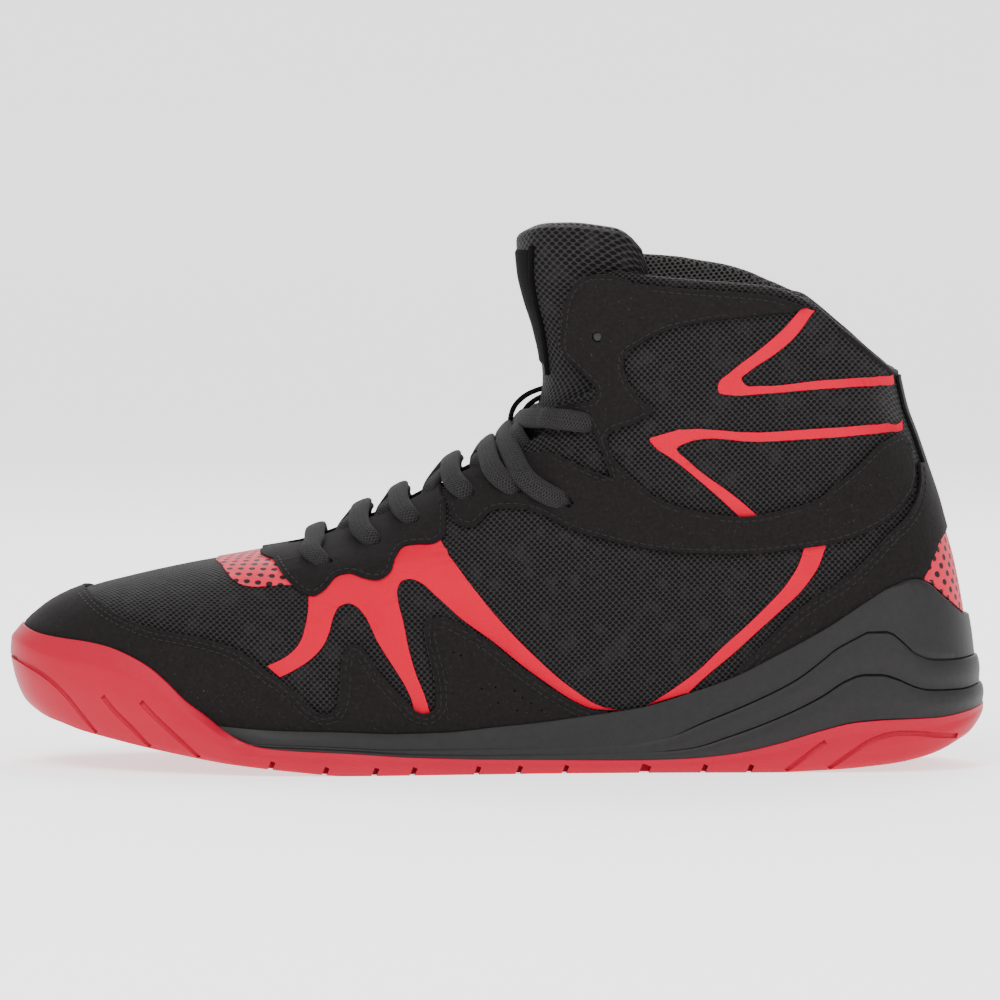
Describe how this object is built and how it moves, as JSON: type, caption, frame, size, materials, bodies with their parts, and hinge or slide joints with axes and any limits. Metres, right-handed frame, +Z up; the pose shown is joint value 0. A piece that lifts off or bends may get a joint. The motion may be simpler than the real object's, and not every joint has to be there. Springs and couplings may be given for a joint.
{
  "type": "mixed martial arts shoe",
  "caption": "High-top mixed martial arts shoe: black mesh and suede upper with red trim, padded tongue, crossed lace, charcoal midsole and flat red rubber outsole.",
  "frame": {"origin": "on the floor under the middle of the shoe's bounding box", "axes": "+X from toe to heel, +Y to the inner side of the foot, +Z up"},
  "size_m": [0.2997, 0.0999, 0.1669],
  "materials": {
    "red_rubber": "satin",
    "charcoal_foam": "matte",
    "black_lining": "matte",
    "black_mesh": "matte",
    "black_suede": "matte",
    "red_film": "satin",
    "red_mesh": "satin",
    "black_lace": "matte"
  },
  "bodies": {
    "root": {"outsole": "red_rubber", "midsole": "charcoal_foam", "insole": "black_lining", "upper": "black_mesh", "tongue": "black_mesh", "tongue_label": "black_lace", "toe_guard": "black_suede", "eyestay": "black_suede", "ankle_frame_outer": "black_suede", "ankle_frame_inner": "black_suede", "heel_counter": "black_suede", "vamp_panel": "red_mesh", "heel_panel": "red_mesh", "claw_outer": "red_film", "claw_inner": "red_film", "upper_v_outer": "red_film", "upper_v_inner": "red_film", "lower_v_outer": "red_film", "lower_v_inner": "red_film", "rear_stripe_outer": "red_film", "rear_stripe_inner": "red_film", "lace": "black_lace"}
  },
  "joints": []
}
